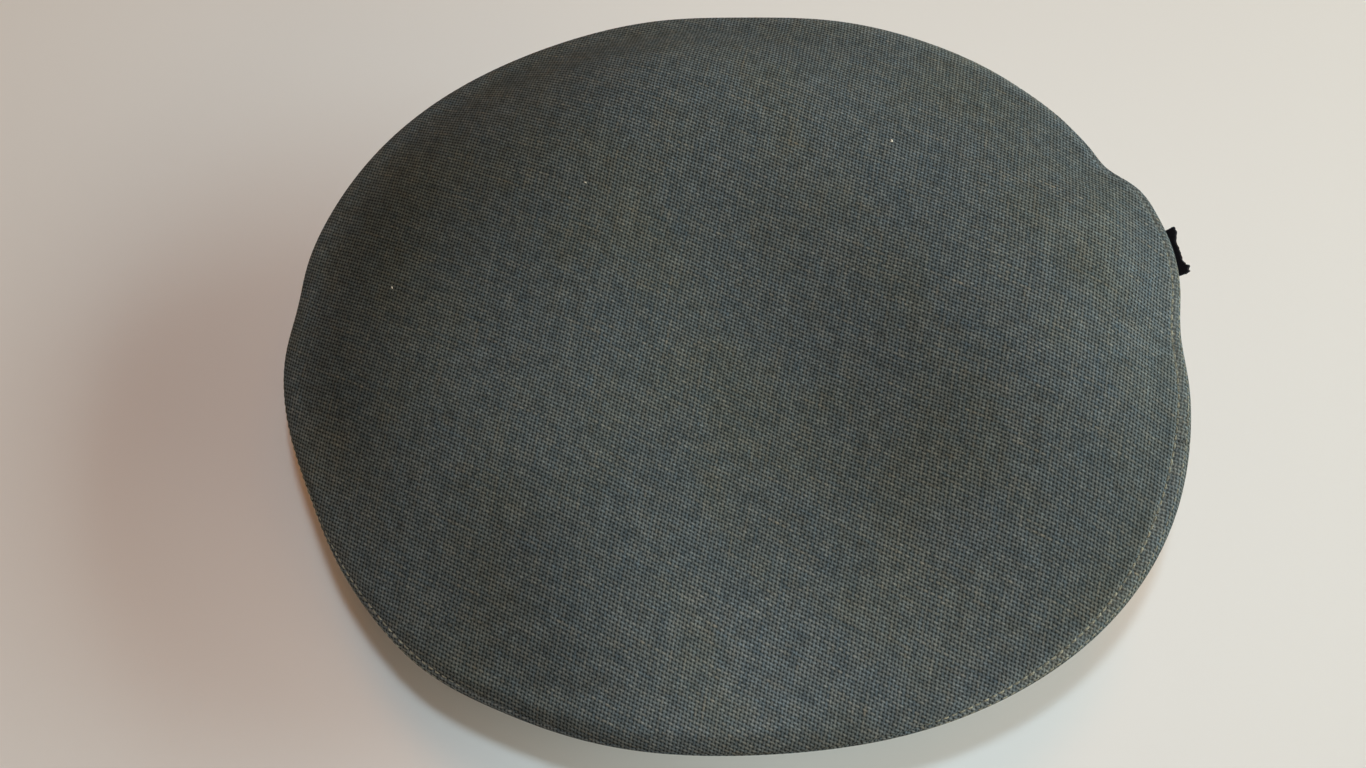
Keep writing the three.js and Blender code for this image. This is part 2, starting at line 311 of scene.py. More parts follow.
def rim_height(x, y):
    return RIM["height"] + RIM["slope"] * x - RIM["droop"] * (y / RIM["half_wide"]) ** 2


def rim_point(deg, inside, rise):
    point = outward(deg) * (rim_radius(deg) - inside)[..., None]
    point[..., 2] = rim_height(point[..., 0], point[..., 1]) + rise
    return point


def crown_section(deg):
    """Roll, shelf and run at these directions, eased from one row of the table to the next."""
    table = np.array([*CROWN_SECTIONS, CROWN_SECTIONS[0]._replace(at_deg=360)], dtype=float)
    at = np.asarray(deg, dtype=float) % 360
    row = np.minimum(np.searchsorted(table[:, 0], at, side="right") - 1, len(table) - 2)
    share = smooth((at - table[row, 0]) / (table[row + 1, 0] - table[row, 0]))
    return np.moveaxis(lerp(table[row, 1:], table[row + 1, 1:], share[..., None]), -1, 0)


def edge_at(deg, number):
    """How far inside the rim a row of the stitched edge lies at these directions, and how high."""
    row = EDGE_ROWS[number]
    roll, _, _ = crown_section(deg)
    wider = sum(s.out * bell(turn_between(deg, s.at_deg), s.reach_deg) for s in STRIP_WIDER)
    inside = lerp(row.inside, row.rolled_inside, roll) + wider * WIDER_IN[number]
    return inside, lerp(row.rise, row.rolled_rise, roll) + wider * WIDER_UP[number]


def edge_surface(deg):
    """The stitched edge, a row of points for each step of its rounded profile, and the ways out of its cloth."""
    rows = [np.stack(edge_at(deg, number), axis=-1) for number in range(len(EDGE_ROWS))]
    profile = rounded_line(np.stack(rows), EDGE_STEPS)
    slope = unit(np.gradient(profile, axis=0))
    way = np.broadcast_to(outward(deg), (*profile.shape[:2], 3))
    out = way * slope[..., 1:2] + np.array([0, 0, 1.0]) * slope[..., 0:1]
    points = np.stack([rim_point(deg, inside, rise) for inside, rise in np.moveaxis(profile, -1, 1)])
    return points, out


def crown_height(x, y):
    deg = np.degrees(np.arctan2(y, x))
    inside = rim_radius(deg) - np.hypot(x, y)
    _, shelf, run = crown_section(deg)
    share = np.clip((inside - EDGE_FOOT.inside - shelf) / run, 0, 1)
    eased = (1 + DOME["ease"]) * share**2 / (share + DOME["ease"])
    dome = DOME["rise"] * (1 - (1 - eased) ** DOME["power"])
    slack = np.zeros_like(dome)
    for s in CROWN_SLACK:
        way = math.cos(math.radians(s.turn_deg)), math.sin(math.radians(s.turn_deg))
        lengthwise = (x - s.x) * way[0] + (y - s.y) * way[1]
        crosswise = (y - s.y) * way[0] - (x - s.x) * way[1]
        slack = slack + s.rise * bell(lengthwise, s.long) * bell(crosswise, s.wide)
    fade = smooth((inside - EDGE_FOOT.inside) / (SLACK_FADE - EDGE_FOOT.inside))
    return rim_height(x, y) + EDGE_FOOT.rise + dome + slack * fade


def panel_ends(deg, inset):
    inside, rise = edge_at(deg, UNDER_ROW)
    return band_point(deg, BAND["high"] + GAP, inset), rim_point(deg, inside + inset, rise - GAP)


def panel_axes(deg):
    """The straight way up a side panel, and the way out of its outer face."""
    low, high = panel_ends(deg, 0.0)
    up = unit(high - low)
    way = outward(deg)
    return up, unit(way - up * (way * up).sum(-1, keepdims=True))


def panel_point(deg, share, inset):
    low, high = panel_ends(deg, inset)
    folds = sum(f.out * bell(turn_between(deg, f.at_deg), f.reach_deg) for f in PANEL_FOLDS)
    bulge = (PANEL_BELLY + folds) * np.sin(math.pi * share)
    return lerp(low, high, np.asarray(share)[..., None]) + panel_axes(deg)[1] * np.asarray(bulge)[..., None]


# The frame's origin is the middle of the cap's box, so the crown's own middle is found from its solid
CAD_STEPS = 96
CAD_RIM = edge_surface(np.arange(CAD_STEPS) * 360 / CAD_STEPS)[0][::EDGE_STEPS].reshape(-1, 3)
CROWN_LOW, CROWN_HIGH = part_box("crown_top")
MIDDLE = np.array(
    [
        (CROWN_LOW.x + CROWN_HIGH.x) / 2 / MM - (CAD_RIM[:, 0].min() + CAD_RIM[:, 0].max()) / 2,
        (CROWN_LOW.y + CROWN_HIGH.y) / 2 / MM - (CAD_RIM[:, 1].min() + CAD_RIM[:, 1].max()) / 2,
        0.0,
    ]
)


def placed(points):
    """Millimetres about the crown's middle to metres in the frame."""
    return (np.asarray(points) + MIDDLE) * MM


# Meshes


class Build:
    """Gathers the points and faces of one mesh, and at each point its place in the cloth:
    two counts of threads, or millimetres on leather and felt, then how worn it is, or how soiled if below 0; on the
    top panel that number also carries painted light above 0 and painted shade below 0."""

    def __init__(self):
        self.points = []
        self.cloth = []
        self.faces = []
        self.count = 0

    def add(self, points, cloth):
        """Adds points of any grid shape, and gives their numbers in that shape."""
        flat = points.reshape(-1, 3)
        numbers = np.arange(self.count, self.count + len(flat)).reshape(points.shape[:-1])
        self.points.append(flat)
        self.cloth.append(cloth.reshape(-1, 3))
        self.count += len(flat)
        return numbers

    def skin(self, numbers, around=False, closed=False):
        """Quads over a grid of numbers: columns first, then rows."""
        if around:
            numbers = np.vstack([numbers, numbers[:1]])
        if closed:
            numbers = np.hstack([numbers, numbers[:, :1]])
        a, b = numbers[:-1, :-1], numbers[1:, :-1]
        c, d = numbers[1:, 1:], numbers[:-1, 1:]
        self.faces.extend(np.stack([a, b, c, d], axis=-1).reshape(-1, 4).tolist())

    def wall(self, outer, inner, cloth):
        """One closed body from two grids of points, columns first, with a cap at each end."""
        loops = np.concatenate([outer, inner[:, ::-1]], axis=1)
        numbers = self.add(loops, np.concatenate([cloth, cloth[:, ::-1]], axis=1))
        self.skin(numbers, closed=True)
        rows = outer.shape[1]
        for end in (numbers[0], numbers[-1]):
            self.skin(np.stack([end[:rows], end[rows:][::-1]]))

    def join_rings(self, fine, coarse):
        """A ring of faces from a ring of many points to one of fewer, a whole number of times fewer."""
        ratio = len(fine) // len(coarse)
        for i in range(len(coarse)):
            outer = [int(fine[(i * ratio + j) % len(fine)]) for j in range(ratio + 1)]
            self.faces.append([*outer, int(coarse[(i + 1) % len(coarse)]), int(coarse[i])])

    def fan(self, ring, middle):
        for i in range(len(ring)):
            self.faces.append([int(ring[i]), int(ring[(i + 1) % len(ring)]), int(middle)])

    def finish(self, name, material):
        mesh = bpy.data.meshes.new(name)
        mesh.from_pydata(placed(np.vstack(self.points)).tolist(), [], self.faces)
        stored = mesh.attributes.new("cloth", "FLOAT_VECTOR", "POINT")
        stored.data.foreach_set("vector", np.vstack(self.cloth).astype(np.float32).ravel())
        editable = bmesh.new()
        editable.from_mesh(mesh)
        bmesh.ops.recalc_face_normals(editable, faces=editable.faces)
        editable.to_mesh(mesh)
        editable.free()
        mesh.polygons.foreach_set("use_smooth", np.ones(len(mesh.polygons), bool))
        mesh.set_sharp_from_angle(angle=math.radians(60))
        mesh.materials.append(material)
        piece = bpy.data.objects.new(name, mesh)
        bpy.context.scene.collection.objects.link(piece)
        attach(piece, "root")
        return piece


def stitch_shape(length, thick):
    """One stitch as rings of points along x: round, thicker in the middle, its ends going down into the cloth."""
    rings, sides = 7, 6
    at = np.linspace(-1, 1, rings)
    girth = thick / 2 * np.sqrt(np.clip(1.04 - np.abs(at) ** 3, 0.05, 1))
    sink = -0.55 * thick * np.abs(at) ** 4
    around = np.arange(sides) * 2 * math.pi / sides
    x = np.repeat(at[:, None] * length / 2, sides, axis=1)
    y = girth[:, None] * np.cos(around)
    z = girth[:, None] * np.sin(around) * 0.8 + sink[:, None]
    return np.stack([x, y, z], axis=-1)


def add_stitch(build, point, ahead, normal, shape, mark):
    """One stitch lying on the cloth; its mark sets it apart from the others in the thread's texture."""
    side = unit(np.cross(normal, ahead))
    up = np.cross(ahead, side)
    x, y, z = shape[..., 0:1], shape[..., 1:2], shape[..., 2:3]
    made = point + x * (ahead + RNG.normal(0, 0.05) * side) + y * side + z * up
    numbers = build.add(made, np.concatenate([x + 7.3 * mark, y, z], axis=-1))
    build.skin(numbers.T, around=True)
    build.faces.append(numbers[0].tolist())
    build.faces.append(numbers[-1].tolist())


def stitch_row(build, points, normals, stitch, around=False):
    """Stitches with their middles on these points, each as long as its share of the way to the next."""
    if around:
        ways = (np.roll(points, -1, 0) - np.roll(points, 1, 0)) / 2
    else:
        ways = np.gradient(points, axis=0)
    for i, (point, way, normal) in enumerate(zip(points, ways, normals)):
        length = np.linalg.norm(way) * stitch.share * RNG.normal(1, 0.04)
        add_stitch(build, point, unit(way), normal, stitch_shape(length, stitch.thick), i)


def evenly(points, normals, pitch):
    """Points and normals of a line again, a pitch apart, half a pitch from its ends."""
    length = along(points)
    count = max(2, round(length[-1] / pitch))
    at = (np.arange(count) + 0.5) * length[-1] / count
    line = [np.interp(at, length, points[:, axis]) for axis in range(3)]
    ways = [np.interp(at, length, normals[:, axis]) for axis in range(3)]
    return np.stack(line, axis=-1), unit(np.stack(ways, axis=-1))


# Materials


class Nodes:
    """A short way to write a material's nodes."""

    def __init__(self, name):
        self.material = bpy.data.materials.new(name)
        self.material.use_nodes = True
        self.tree = self.material.node_tree
        self.tree.nodes.clear()
        self.shader = self.add("ShaderNodeBsdfPrincipled")
        output = self.add("ShaderNodeOutputMaterial")
        self.link(self.shader.outputs["BSDF"], output.inputs["Surface"])

    def add(self, kind, **settings):
        made = self.tree.nodes.new(kind)
        for key, value in settings.items():
            setattr(made, key, value)
        return made

    def link(self, output, socket):
        self.tree.links.new(output, socket)

    def put(self, socket, value):
        if isinstance(value, bpy.types.NodeSocket):
            self.link(value, socket)
        else:
            socket.default_value = value

    def set(self, **sockets):
        """Puts values on the shader's own sockets, with _ for each space in their names."""
        for name, value in sockets.items():
            self.put(self.shader.inputs[name.replace("_", " ")], value)

    def math(self, operation, a, b=None, c=None):
        made = self.add("ShaderNodeMath", operation=operation)
        for socket, value in zip(made.inputs, (a, b, c)):
            if value is not None:
                self.put(socket, value)
        return made.outputs[0]

    def scaled(self, value, times, plus=0.0):
        return self.math("MULTIPLY_ADD", value, times, plus)

    def vector(self, operation, a, b=None, scale=None):
        made = self.add("ShaderNodeVectorMath", operation=operation)
        self.put(made.inputs[0], a)
        if b is not None:
            self.put(made.inputs[1], b)
        if scale is not None:
            self.put(made.inputs["Scale"], scale)
        return made.outputs["Value" if operation in ("DOT_PRODUCT", "LENGTH", "DISTANCE") else "Vector"]

    def cloth(self):
        return self.add("ShaderNodeAttribute", attribute_name="cloth").outputs["Vector"]

    def split(self, vector):
        made = self.add("ShaderNodeSeparateXYZ")
        self.link(vector, made.inputs[0])
        return made.outputs

    def combine(self, x, y, z=0.0):
        made = self.add("ShaderNodeCombineXYZ")
        for socket, value in zip(made.inputs, (x, y, z)):
            self.put(socket, value)
        return made.outputs[0]

    def noise(self, vector, scale, detail=2.0, roughness=0.5, output="Fac"):
        made = self.add("ShaderNodeTexNoise")
        self.put(made.inputs["Vector"], vector)
        made.inputs["Scale"].default_value = scale
        made.inputs["Detail"].default_value = detail
        made.inputs["Roughness"].default_value = roughness
        return made.outputs[output]

    def random(self, value):
        made = self.add("ShaderNodeTexWhiteNoise", noise_dimensions="1D")
        self.put(made.inputs["W"], value)
        return made.outputs["Value"]

    def ramp(self, factor, stops):
        made = self.add("ShaderNodeValToRGB")
        while len(made.color_ramp.elements) < len(stops):
            made.color_ramp.elements.new(0.5)
        for element, (at, colour) in zip(made.color_ramp.elements, stops):
            element.position = at
            element.color = (*colour, 1)
        self.put(made.inputs[0], factor)
        return made.outputs[0]

    def mix(self, factor, a, b, blend="MIX"):
        made = self.add("ShaderNodeMix", data_type="RGBA", blend_type=blend)
        self.put(made.inputs[0], factor)
        for socket, value in ((made.inputs[6], a), (made.inputs[7], b)):
            self.put(socket, value if isinstance(value, bpy.types.NodeSocket) else (*value, 1))
        return made.outputs[2]

    def remap(self, value, low, high, to_low=0.0, to_high=1.0):
        made = self.add("ShaderNodeMapRange", interpolation_type="SMOOTHSTEP")
        for socket, given in zip(made.inputs, (value, low, high, to_low, to_high)):
            self.put(socket, given)
        return made.outputs[0]

    def tinted(self, value, colour):
        """A colour times a number."""
        return self.vector("SCALE", colour, scale=value)

    def bump(self, height, distance):
        made = self.add("ShaderNodeBump")
        made.inputs["Distance"].default_value = distance
        self.put(made.inputs["Height"], height)
        self.link(made.outputs["Normal"], self.shader.inputs["Normal"])


YARNS = [
    (0.0, (0.075, 0.096, 0.104)),
    (0.4, (0.091, 0.103, 0.1)),
    (0.7, (0.105, 0.108, 0.096)),
    (1.0, (0.136, 0.119, 0.088)),
]
# Painted shade: the colour of the gaps between the yarns and of their low flanks
YARN_GAP_SHADE = (0.0125, 0.0165, 0.0165)
# How much each colour channel follows the top panel's tone number: real smudges and wear, painted shade and painted
# light alike
STAIN_AND_LIGHT_SHARES = (0.94, 1.0, 1.13)


def canvas(name):
    """Coarse plain weave: two sets of uneven yarns over and under each other, with a dark gap of painted shade at
    each corner, painted shade on the yarns' low flanks and a painted highlight on their crests.
    """
    n = Nodes(name)
    cloth = n.cloth()
    across, up, wear = n.split(cloth)
    threads = n.combine(across, up)
    sway = n.split(n.vector("SUBTRACT", n.noise(threads, 0.05, output="Color"), (0.5, 0.5, 0.5)))
    u, v = n.scaled(sway[0], 1.4, across), n.scaled(sway[1], 1.4, up)
    wave_u, wave_v = (n.math("SINE", n.math("MULTIPLY", w, math.pi)) for w in (u, v))
    round_u, round_v = (n.math("ABSOLUTE", w) for w in (wave_u, wave_v))
    over_u = n.math("MULTIPLY", n.math("SIGN", wave_u), wave_v)
    over_v = n.math("MULTIPLY", n.math("SIGN", wave_v), n.math("MULTIPLY", wave_u, -1.0))
    height_u = n.scaled(over_u, 0.2, n.math("MULTIPLY", round_u, 0.7))
    height_v = n.scaled(over_v, 0.2, n.math("MULTIPLY", round_v, 0.74))
    height = n.math("SMOOTH_MAX", height_u, height_v, 0.12)
    weft_on_top = n.remap(n.math("SUBTRACT", height_v, height_u), -0.12, 0.12)

    thread_u, thread_v = n.math("FLOOR", u), n.math("FLOOR", v)
    slub_u = n.noise(n.combine(thread_u, n.math("MULTIPLY", v, 0.09), 3.0), 0.9)
    slub_v = n.noise(n.combine(n.math("MULTIPLY", u, 0.06), thread_v, 9.0), 0.9)
    fleck = n.noise(n.combine(u, v, 5.0), 1.5, 2, 0.7)
    hue = n.noise(n.combine(across, up, 7.0), 0.3, 2, 0.6)
    tint_u = n.scaled(n.random(thread_u), 0.15, n.scaled(slub_u, 1.1, n.scaled(hue, 0.8, -0.65)))
    tint_v = n.scaled(n.random(thread_v), 0.15, n.scaled(slub_v, 1.1, n.scaled(hue, 0.8, -0.6)))
    warp = n.tinted(n.scaled(slub_u, 0.4, 0.75), n.ramp(tint_u, YARNS))
    weft = n.tinted(n.scaled(slub_v, 0.45, 0.8), n.ramp(tint_v, YARNS))
    yarn = n.tinted(n.scaled(fleck, 1.7, 0.15), n.mix(weft_on_top, warp, weft))
    # Painted highlight on each yarn's crest, painted shade on its flanks
    yarn = n.tinted(n.remap(height, 0.66, 0.94, 0.82, 1.3), yarn)
    # High tone numbers mark rubbed cloth, with fewer dark gaps and a khaki tint; on the rim strip this also carries
    # the painted highlight
    rubbed = n.remap(wear, 0.4, 0.9, 0.0, 0.75)
    # Painted shade: low parts of the weave and its gaps take the gap colour, less where the cloth is rubbed
    colour = n.mix(n.math("MAXIMUM", n.remap(height, 0.3, 0.68), rubbed), YARN_GAP_SHADE, yarn)
    colour = n.mix(rubbed, colour, n.mix(1.0, colour, (1.1, 1.03, 0.9), "MULTIPLY"))
    mottle = n.noise(threads, 0.25, 2, 0.6)
    colour = n.tinted(n.scaled(mottle, 0.85, 0.57), colour)

    patch = n.remap(n.noise(threads, 0.024, 3, 0.6), 0.4, 0.66)
    colour = n.mix(patch, colour, n.mix(1.0, colour, (1.05, 1.0, 0.9), "MULTIPLY"))
    # The tone number scales the colour: smudges and rubbed wear, and on the top panel painted shade and painted light
    # too
    stain_and_light_factor = n.combine(*(n.scaled(wear, share, 1.0) for share in STAIN_AND_LIGHT_SHARES))
    n.set(
        Base_Color=n.vector("MULTIPLY", colour, stain_and_light_factor),
        Roughness=0.95,
        Specular_IOR_Level=0.06,
    )
    n.bump(n.scaled(fleck, 0.25, height), 0.25 * MM)
    return n.material


def thread(name, colour, dark):
    """Twisted thread, paler where it is rubbed, with painted shade along the grooves of its twist."""
    n = Nodes(name)
    cloth = n.cloth()
    ply = n.math("SINE", n.vector("DOT_PRODUCT", cloth, (9.0, 9.0, 4.0)))
    rubbed = n.noise(cloth, 0.35)
    # The ply term is painted shade along the grooves of the twist
    shade = n.scaled(ply, 0.12, n.scaled(rubbed, 0.8, 0.5))
    n.set(
        Base_Color=n.tinted(shade, n.mix(n.remap(rubbed, 0.35, 0.7), dark, colour)),
        Roughness=0.75,
        Specular_IOR_Level=0.25,
    )
    n.bump(ply, 0.05 * MM)
    return n.material


def felt(name):
    """Pressed black wool with short hairs."""
    n = Nodes(name)
    cloth = n.cloth()
    hairs = n.noise(cloth, 3.2, 4, 0.7)
    clumps = n.noise(cloth, 0.7)
    shade = n.scaled(hairs, 0.7, n.math("MULTIPLY", clumps, 0.3))
    n.set(
        Base_Color=n.ramp(shade, [(0.3, (0.003, 0.003, 0.004)), (0.7, (0.016, 0.014, 0.018))]),
        Roughness=1.0,
        Specular_IOR_Level=0.08,
        Sheen_Weight=0.04,
    )
    n.bump(hairs, 0.3 * MM)
    return n.material


def leather(name):
    """Smooth black leather: fine cells of grain, scuffs, and a paler worn edge."""
    n = Nodes(name)
    cloth = n.cloth()
    across, up, wear = n.split(cloth)
    place = n.combine(across, up)
    shaken = n.vector("ADD", place, n.vector("SCALE", n.noise(place, 0.8, output="Color"), scale=0.8))
    cells = n.add("ShaderNodeTexVoronoi", feature="DISTANCE_TO_EDGE")
    n.put(cells.inputs["Vector"], shaken)
    cells.inputs["Scale"].default_value = 1.1
    grain = n.remap(cells.outputs["Distance"], 0.0, 0.22)
    handled = n.noise(place, 0.06, 4, 0.65)
    scuffed = n.remap(n.scaled(wear, 0.5, handled), 0.52, 0.74)
    n.set(
        Base_Color=n.mix(scuffed, (0.009, 0.0085, 0.009), (0.018, 0.016, 0.015)),
        Roughness=n.scaled(scuffed, 0.1, n.scaled(handled, 0.12, 0.32)),
        Specular_IOR_Level=0.45,
    )
    n.bump(n.scaled(grain, 0.5, n.noise(place, 6.0)), 0.07 * MM)
    return n.material


def lint(name):
    """Pale fluff."""
    n = Nodes(name)
    fluff = n.noise(n.cloth(), 6.0, 3, 0.7)
    n.set(Base_Color=n.ramp(fluff, [(0.3, (0.45, 0.4, 0.3)), (0.7, (0.8, 0.76, 0.64))]), Roughness=1.0)
    return n.material


CANVAS = canvas("canvas")
KHAKI = thread("khaki_thread", (0.36, 0.345, 0.255), (0.2, 0.2, 0.155))
BLACK_THREAD = thread("black_thread", (0.02, 0.019, 0.02), (0.01, 0.01, 0.01))
FELT_BLACK = felt("black_felt")
LEATHER = leather("black_leather")
FLUFF = lint("lint")


def threads_of(plan):
    """Counts of threads across the top panel's two ways, from places in its plan."""
    ways = outward(np.array([WARP_ACROSS_DEG, WEFT_ACROSS_DEG])) / WEAVE_PITCH
    return plan @ ways.T


# Top panel


def fine_turns():
    """The directions of the rim's columns, a few to each stitch, drawn together where its strip is joined."""
    count = RIM_STITCHES * COLUMNS_PER_STITCH
    turns = np.arange(count) * 360 / count
    at = round((STRIP_JOIN_DEG % 360) / 360 * count)
    turns[at - 1:at + 2] = STRIP_JOIN_DEG % 360 + np.array([-0.14, 0, 0.14])
    return turns


def stains_and_painted_light_at(plan):
    """How much paler the top panel is at these places, below 0 where darker: real smudges, painted shade and painted
    light from the marks' table, the darker marks less so by the rim.
    """
    x, y = plan[..., 0], plan[..., 1]
    inside = rim_radius(np.degrees(np.arctan2(y, x))) - np.hypot(x, y)
    darkened = lerp(RIM_DARKENING, 1, smooth(inside / RIM_DARKENING_REACH))
    wear = np.zeros(x.shape)
    for s in MARKS_STAINS_AND_PAINTED_LIGHT:
        wear -= s.strength * bell(np.hypot(x - s.x, y - s.y), s.reach) * (darkened if s.strength > 0 else 1)
    return wear


def crown_top():
    build = Build()
    turns = fine_turns()
    phase = np.arange(len(turns)) / COLUMNS_PER_STITCH
    radius = rim_radius(turns)
    roll, _, _ = crown_section(turns)

    def ring(inside, offset):
        """A ring at this distance inside the rim, on the panel's upper side or as much lower."""
        points = outward(turns) * (radius - inside)[:, None]
        points[:, 2] = crown_height(points[:, 0], points[:, 1]) + offset
        return points

    def cloth_at(plan, wear):
        return np.concatenate([threads_of(plan), wear[..., None]], axis=-1)

    # The edge: puckered at each needle hole, ribbed between them, notched where the strip is joined
    edge, out = edge_surface(turns)
    row = np.linspace(0, len(EDGE_ROWS) - 1, len(edge))[:, None]
    foot, _ = edge_at(turns, len(EDGE_ROWS) - 1)
    edge[..., 2] += (ring(foot, 0.0)[:, 2] - edge[-1, :, 2]) * smooth((row - GROOVE_ROW) / 3)
    hole = np.cos(math.pi * phase) ** 4
    join = bell(turn_between(turns, STRIP_JOIN_DEG), 0.1)
    relief = 0.09 * (1 - hole) * bell(row - WELT_ROW, 0.7)
    relief = relief - 0.2 * hole * bell(row - GROOVE_ROW, 0.5)
    relief = relief - 0.5 * join * bell(row - WELT_ROW, 1.2)
    edge = edge + out * relief[..., None]
    beyond = along(edge)[-1] - along(edge) - foot
    edge_plan = outward(turns) * (radius + beyond)[..., None]
    # How strongly the strip pales: much less where the edge has rolled over, except the painted highlight where the
    # rolled edge faces the window lamp
    worn = 1 - 0.85 * roll * (1 - RUBBED_AND_LIT_EDGE["share"] * bell(turn_between(turns, RUBBED_AND_LIT_EDGE["at_deg"]), RUBBED_AND_LIT_EDGE["reach_deg"]))

    # Painted shade just inside the stitches where the rolled edge turns down away from the lamps
    shade_band = bell(turn_between(turns, EDGE_SHADE_BAND["at_deg"]), EDGE_SHADE_BAND["reach_deg"])

    def rubbed_lit_and_shaded(row):
        """How far the edge is paler at a row: rubbed by its seam, further in where it has rolled over, with a painted
        highlight where the rolled edge faces the window lamp, less the painted shade band inside the stitches.
        """
        pale = RUBBED_AND_LIT_EDGE["pale"] * worn * bell(row - WELT_ROW - 0.4 - 2.2 * roll, 1.7)
        return pale - EDGE_SHADE_BAND["share"] * shade_band * bell(row - EDGE_SHADE_BAND["row"], 1.6)

    # Darker at the strip's join as well: painted shade in its notch
    edge_wear_and_painted_light = rubbed_lit_and_shaded(row) - 0.7 * join * bell(row - WELT_ROW, 1.5)

    above = [ring(lerp(foot, 8.0, share), 0.0) for share in (0.19, 0.44, 0.69, 1.0)]
    below = [ring(inside, -CLOTH) for inside in (8.0, 7.0)]
    plans = [p * (1, 1, 0) for p in (*below, *above)]
    rows = np.stack([*below, *edge, *above], axis=1)
    cloth_rows = [
        *(cloth_at(p, stains_and_painted_light_at(p)) for p in plans[:2]),
        *(cloth_at(p, stains_and_painted_light_at(p) + w) for p, w in zip(edge_plan, edge_wear_and_painted_light)),
        *(cloth_at(p, stains_and_painted_light_at(p) + rubbed_lit_and_shaded(len(EDGE_ROWS) + k)) for k, p in enumerate(plans[2:])),
    ]
    numbers = build.add(rows, np.stack(cloth_rows, axis=1))
    build.skin(numbers, around=True)

    # Inside the edge: fewer columns, and fewer again towards the middle
    def sheet(first, offset, steps):
        ring_before, columns = first, turns[::COLUMNS_PER_STITCH]
        for share in 1 - np.arange(1, steps) / steps:
            if (share < 0.3 and len(columns) == RIM_STITCHES) or (share < 0.08 and len(columns) == RIM_STITCHES // 4):
                columns = columns[::4]
            points = outward(columns) * (share * (rim_radius(columns) - 8.0))[:, None]
            cloth = cloth_at(points, stains_and_painted_light_at(points))
            points[:, 2] = crown_height(points[:, 0], points[:, 1]) + offset
            ring_here = build.add(points, cloth)
            build.join_rings(ring_before, ring_here)
            ring_before = ring_here
        centre = np.zeros((1, 3))
        cloth = cloth_at(centre, np.zeros(1))
        centre[:, 2] = crown_height(centre[:, 0], centre[:, 1]) + offset
        build.fan(ring_before, build.add(centre, cloth)[0])

    sheet(numbers[:, -1], 0.0, 56)
    sheet(numbers[:, 0], -CLOTH, 20)
    return build.finish("crown", CANVAS)


def rim_stitches():
    """The row that holds the rim, drawn into the cloth in places, and a finer one along its lip."""
    build = Build()
    turns = (np.arange(RIM_STITCHES) + 0.5) * 360 / RIM_STITCHES
    edge, out = edge_surface(turns)
    drawn_in = sum(smooth((s.half_deg - np.abs(turn_between(turns, s.middle_deg))) / 10) for s in DRAWN_IN)
    for row, lift, stitch in ((GROOVE_ROW, 0.28, RIM_STITCH), (LIP_ROW, 0.1, LIP_STITCH)):
        at = row * EDGE_STEPS
        raised = lift - (lift + 0.9 * stitch.thick) * drawn_in[:, None]
        stitch_row(build, edge[at] + raised * out[at], out[at], stitch, around=True)
    return build.finish("rim_stitches", KHAKI)


def lint_specks():
    build = Build()
    for place, speck in enumerate(LINT):
        for _ in range(speck.flecks):
            spot = np.array([speck.x, speck.y, 0.0]) + np.append(RNG.normal(0, 0.25, 2), 0)
            spot[2] = crown_height(spot[0:1], spot[1:2])[0] + 0.2
            way = outward(RNG.uniform(0, 360))
            add_stitch(build, spot, way, np.array([0, 0, 1.0]), stitch_shape(0.9, 0.4), place)
    return build.finish("lint", FLUFF)


# Side panels


def panel_grid(panel, columns, rows):
    """Directions and shares over a side panel, its edges half a gap short of the seams."""
    share, v = np.meshgrid(columns, rows, indexing="ij")
    trim = np.degrees(GAP / 2 / lerp(BAND["half_wide"], RIM["half_wide"], v))
    return lerp(panel.from_deg + trim, panel.to_deg - trim, share), v


def panel_inset(panel, deg, v):
    """How far the outer face lies inside the plain panel: rounded edges, stitched lines and soft draws."""
    low, high = panel_ends(deg, 0.0)
    tall = np.linalg.norm(high - low, axis=-1)
    radius = np.linalg.norm(panel_point(deg, v, 0.0)[..., :2], axis=-1)
    to_seam = np.radians(np.minimum(deg - panel.from_deg, panel.to_deg - deg)) * radius
    to_end = tall * np.minimum(v, 1 - v)
    rounded = turned_in(to_seam, SEAM_ROUND) + turned_in(to_end, SEAM_ROUND)
    stitched = 0.25 * bell(to_seam - SEAM_INSIDE, 0.6) + 0.2 * bell(tall * v - SEAM_INSIDE, 0.6)
    arc = np.radians(deg) * radius
    draws = np.sin(arc / 6.1 + 2.1 * np.sin(arc / 23)) * bell(v - 0.85, 0.16)
    draws = draws + 0.8 * np.sin(arc / 9.3 + 1.7 * np.sin(arc / 31) + 1.5 * v) * bell(v - 0.2, 0.2)
    return rounded + stitched - 0.3 * draws * smooth(to_seam / 10) * smooth(to_end / 3)


def side_panel(panel):
    build = Build()
    wide = math.radians(panel.to_deg - panel.from_deg) * RIM["half_wide"]
    deg, v = panel_grid(panel, drawn_to_ends(round(wide / PANEL_STEP)), drawn_to_ends(PANEL_ROWS))
    up, _ = panel_axes(deg)
    outer = panel_point(deg, v, panel_inset(panel, deg, v))
    inner = panel_point(deg, v, CLOTH / up[..., 2])
    low, high = panel_ends(deg, 0.0)
    tall = np.linalg.norm(high - low, axis=-1)
    arc = np.radians(deg - panel.from_deg) * (BAND["half_long"] + RIM["half_wide"]) / 2
    cloth = np.stack([arc / WEAVE_PITCH, tall * v / WEAVE_PITCH, np.zeros_like(arc)], axis=-1)
    build.wall(outer, inner, cloth)
    made = build.finish(panel.name, CANVAS)
    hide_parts(panel.node)

    return made


def panel_line(panel, columns, rows):
    """Points along a line on a side panel's outer face, and the ways out of the cloth there."""
    deg, v = panel_grid(panel, columns, rows)
    points = panel_point(deg, v, panel_inset(panel, deg, v))
    return points.reshape(-1, 3), panel_axes(deg)[1].reshape(-1, 3)


